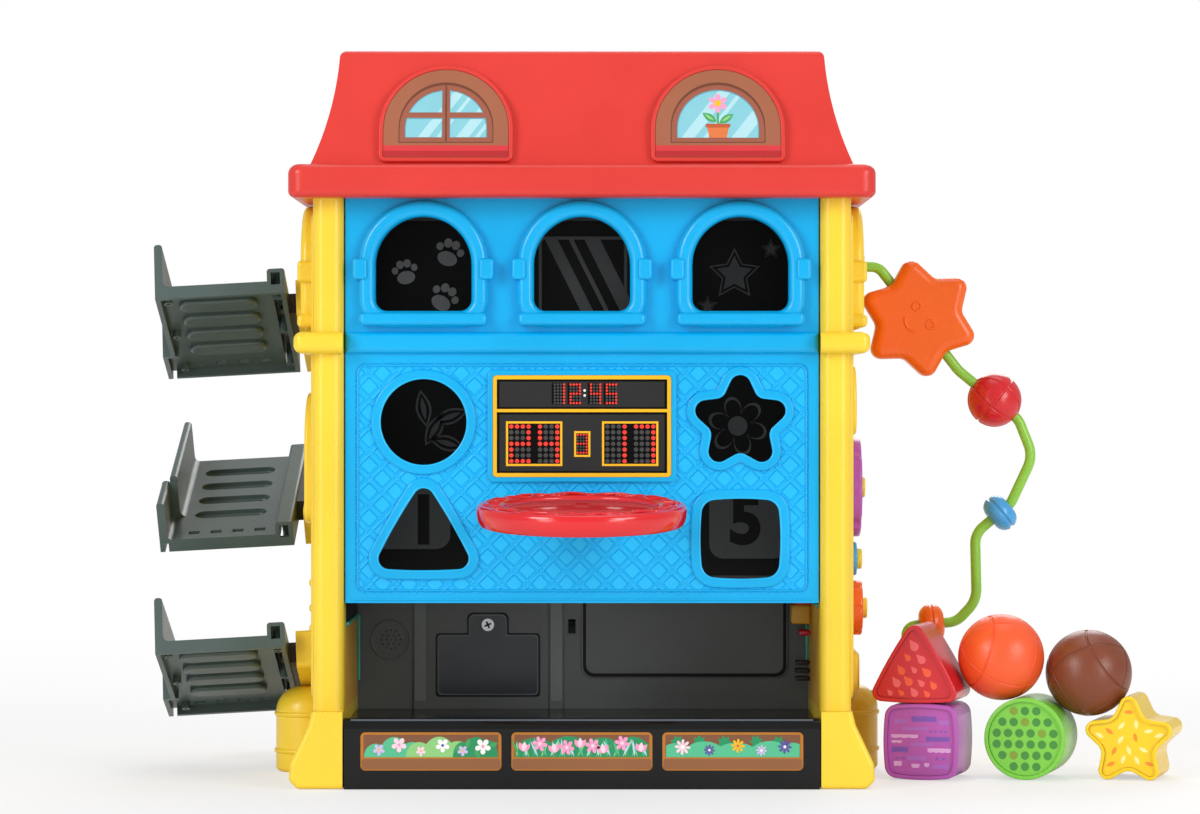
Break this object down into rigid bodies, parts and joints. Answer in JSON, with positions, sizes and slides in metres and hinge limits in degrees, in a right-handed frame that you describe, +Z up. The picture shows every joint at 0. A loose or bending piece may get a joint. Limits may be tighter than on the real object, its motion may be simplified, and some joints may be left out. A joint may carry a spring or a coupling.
{
  "type": "activity house",
  "caption": "Toy house with a shape-sorter face, ball hoop, ball run of stacked ramps, bead wire, spinners, a door with push keys, and loose balls and blocks.",
  "frame": {"origin": "on the floor under the middle of the house, on the underside of the base", "axes": "+X to the right along the shape-sorter face, +Y away from the viewer of that face, +Z up"},
  "size_m": [0.6411, 0.4072, 0.445],
  "materials": {
    "roof_shell": "semi-gloss moulded red",
    "left_dormer_plate": "printed plate, brown window frame on light blue glass",
    "right_dormer_plate": "printed plate, brown window frame on light blue glass",
    "far_dormer_plates": "printed plates like the front ones",
    "sorter_panel": "semi-gloss moulded light blue",
    "scoreboard_plate": "printed plate, dark with a yellow border",
    "hoop": "semi-gloss moulded red",
    "left_wall": "semi-gloss moulded yellow",
    "right_wall": "semi-gloss moulded yellow",
    "left_wall_liner": "printed inner panel, mustard",
    "right_wall_liner": "printed inner panel, yellow",
    "top_ramp": "fine satin slate green",
    "middle_ramp": "fine satin slate green",
    "bottom_ramp": "fine satin slate green",
    "ramp_clips": "dark brown plastic",
    "bead_wire": "green coated steel rod",
    "sun_bead": "semi-gloss orange",
    "red_bead": "semi-gloss red",
    "blue_bead": "semi-gloss blue",
    "orange_bead": "semi-gloss orange",
    "purple_spinner": "semi-gloss purple",
    "blue_roller": "semi-gloss blue",
    "orange_spinner": "semi-gloss orange",
    "spinner_axles": "yellow plastic",
    "axle_washers": "natural plastic",
    "inner_housing": "satin dark grey",
    "housing_cover": "satin dark grey",
    "housing_screws": "zinc plated",
    "battery_door": "satin dark grey",
    "battery_door_screw": "zinc plated, cross recess",
    "batteries": "plain dry cells",
    "battery_contacts": "nickel plated",
    "speaker": "dark cone in a steel basket",
    "circuit_board": "green laminate",
    "power_switch": "pale plastic",
    "base_tray": "glossy black",
    "planter_plates": "printed labels of flower boxes",
    "far_panel": "semi-gloss moulded light blue",
    "front_door": "semi-gloss red",
    "door_pin": "plain steel",
    "left_key": "semi-gloss red",
    "middle_key": "semi-gloss yellow",
    "right_key": "semi-gloss green",
    "doorbell": "semi-gloss orange",
    "key_domes": "translucent silicone rubber",
    "key_board": "green laminate",
    "panel_screws": "zinc plated",
    "base_screws": "zinc plated",
    "roof_screws": "zinc plated",
    "purple_block": "semi-gloss purple",
    "purple_block_plates": "printed end plates",
    "green_block": "semi-gloss green",
    "green_block_plates": "printed end plates",
    "yellow_block": "semi-gloss yellow",
    "yellow_block_plates": "printed end plates",
    "red_block": "semi-gloss red",
    "red_block_plates": "printed end plates",
    "orange_ball": "satin orange",
    "brown_ball": "satin brown"
  },
  "bodies": {
    "house": {"roof_shell": "roof_shell", "left_dormer_plate": "left_dormer_plate", "right_dormer_plate": "right_dormer_plate", "far_dormer_plates": "far_dormer_plates", "sorter_panel": "sorter_panel", "scoreboard_plate": "scoreboard_plate", "hoop": "hoop", "left_wall": "left_wall", "right_wall": "right_wall", "left_wall_liner": "left_wall_liner", "right_wall_liner": "right_wall_liner", "top_ramp": "top_ramp", "middle_ramp": "middle_ramp", "bottom_ramp": "bottom_ramp", "ramp_clips": "ramp_clips", "bead_wire": "bead_wire", "spinner_axles": "spinner_axles", "axle_washers": "axle_washers", "inner_housing": "inner_housing", "housing_cover": "housing_cover", "housing_screws": "housing_screws", "batteries": "batteries", "battery_contacts": "battery_contacts", "speaker": "speaker", "circuit_board": "circuit_board", "base_tray": "base_tray", "planter_plates": "planter_plates", "far_panel": "far_panel", "door_pin": "door_pin", "key_domes": "key_domes", "key_board": "key_board", "panel_screws": "panel_screws", "base_screws": "base_screws", "roof_screws": "roof_screws"},
    "sun_bead": {"sun_bead": "sun_bead"},
    "red_bead": {"red_bead": "red_bead"},
    "blue_bead": {"blue_bead": "blue_bead"},
    "orange_bead": {"orange_bead": "orange_bead"},
    "purple_spinner": {"purple_spinner": "purple_spinner"},
    "blue_roller": {"blue_roller": "blue_roller"},
    "orange_spinner": {"orange_spinner": "orange_spinner"},
    "battery_door": {"battery_door": "battery_door", "battery_door_screw": "battery_door_screw"},
    "power_switch": {"power_switch": "power_switch"},
    "front_door": {"front_door": "front_door"},
    "left_key": {"left_key": "left_key"},
    "middle_key": {"middle_key": "middle_key"},
    "right_key": {"right_key": "right_key"},
    "doorbell": {"doorbell": "doorbell"},
    "purple_block": {"purple_block": "purple_block", "purple_block_plates": "purple_block_plates"},
    "green_block": {"green_block": "green_block", "green_block_plates": "green_block_plates"},
    "yellow_block": {"yellow_block": "yellow_block", "yellow_block_plates": "yellow_block_plates"},
    "red_block": {"red_block": "red_block", "red_block_plates": "red_block_plates"},
    "orange_ball": {"orange_ball": "orange_ball"},
    "brown_ball": {"brown_ball": "brown_ball"}
  },
  "joints": [
    {"name": "sun_bead_turn", "type": "hinge", "parent": "house", "child": "sun_bead", "pos_m": [0.21175, 0, 0.28375], "axis": [0.6106, 0, -0.792], "continuous": true},
    {"name": "red_bead_turn", "type": "hinge", "parent": "house", "child": "red_bead", "pos_m": [0.2598, 0, 0.2324], "axis": [0.7749, 0, -0.6321], "continuous": true},
    {"name": "blue_bead_turn", "type": "hinge", "parent": "house", "child": "blue_bead", "pos_m": [0.26325, 0, 0.1613], "axis": [-0.764, 0, -0.6452], "continuous": true},
    {"name": "orange_bead_turn", "type": "hinge", "parent": "house", "child": "orange_bead", "pos_m": [0.22, 0, 0.09115], "axis": [-0.9964, 0, -0.0842], "continuous": true},
    {"name": "purple_spinner_turn", "type": "hinge", "parent": "house", "child": "purple_spinner", "pos_m": [0.1668, -0.03, 0.178], "axis": [1, 0, 0], "continuous": true},
    {"name": "blue_roller_turn", "type": "hinge", "parent": "house", "child": "blue_roller", "pos_m": [0.1668, -0.03, 0.1335], "axis": [1, 0, 0], "continuous": true},
    {"name": "orange_spinner_turn", "type": "hinge", "parent": "house", "child": "orange_spinner", "pos_m": [0.1668, -0.034, 0.103], "axis": [1, 0, 0], "continuous": true},
    {"name": "battery_door_off", "type": "slide", "parent": "house", "child": "battery_door", "axis": [0, -1, 0], "range_m": [0, 0.06]},
    {"name": "power_switch_slide", "type": "slide", "parent": "house", "child": "power_switch", "axis": [0, 0, 1], "range_m": [0, 0.004]},
    {"name": "front_door_swing", "type": "hinge", "parent": "house", "child": "front_door", "pos_m": [-0.0844, 0.134, 0.084], "axis": [0, 0, 1], "range_deg": [0, 105]},
    {"name": "left_key_press", "type": "slide", "parent": "house", "child": "left_key", "axis": [0, -1, 0], "range_m": [0, 0.003], "stiffness_N_per_m": 300},
    {"name": "middle_key_press", "type": "slide", "parent": "house", "child": "middle_key", "axis": [0, -1, 0], "range_m": [0, 0.003], "stiffness_N_per_m": 300},
    {"name": "right_key_press", "type": "slide", "parent": "house", "child": "right_key", "axis": [0, -1, 0], "range_m": [0, 0.003], "stiffness_N_per_m": 300},
    {"name": "doorbell_press", "type": "slide", "parent": "house", "child": "doorbell", "axis": [0, -1, 0], "range_m": [0, 0.003], "stiffness_N_per_m": 300},
    {"name": "purple_block_away", "type": "slide", "parent": "house", "child": "purple_block", "axis": [-0.2756, -0.9613, 0], "range_m": [0, 0.03]},
    {"name": "green_block_away", "type": "slide", "parent": "house", "child": "green_block", "axis": [-0.2756, -0.9613, 0], "range_m": [0, 0.12]},
    {"name": "yellow_block_away", "type": "slide", "parent": "house", "child": "yellow_block", "axis": [0, -1, 0], "range_m": [0, 0.12]},
    {"name": "red_block_away", "type": "slide", "parent": "purple_block", "child": "red_block", "axis": [-0.2756, -0.9613, 0], "range_m": [0, 0.045]},
    {"name": "orange_ball_lift", "type": "slide", "parent": "green_block", "child": "orange_ball", "axis": [0, 0, 1], "range_m": [0, 0.08]},
    {"name": "brown_ball_lift", "type": "slide", "parent": "yellow_block", "child": "brown_ball", "axis": [0, 0, 1], "range_m": [0, 0.08]}
  ]
}
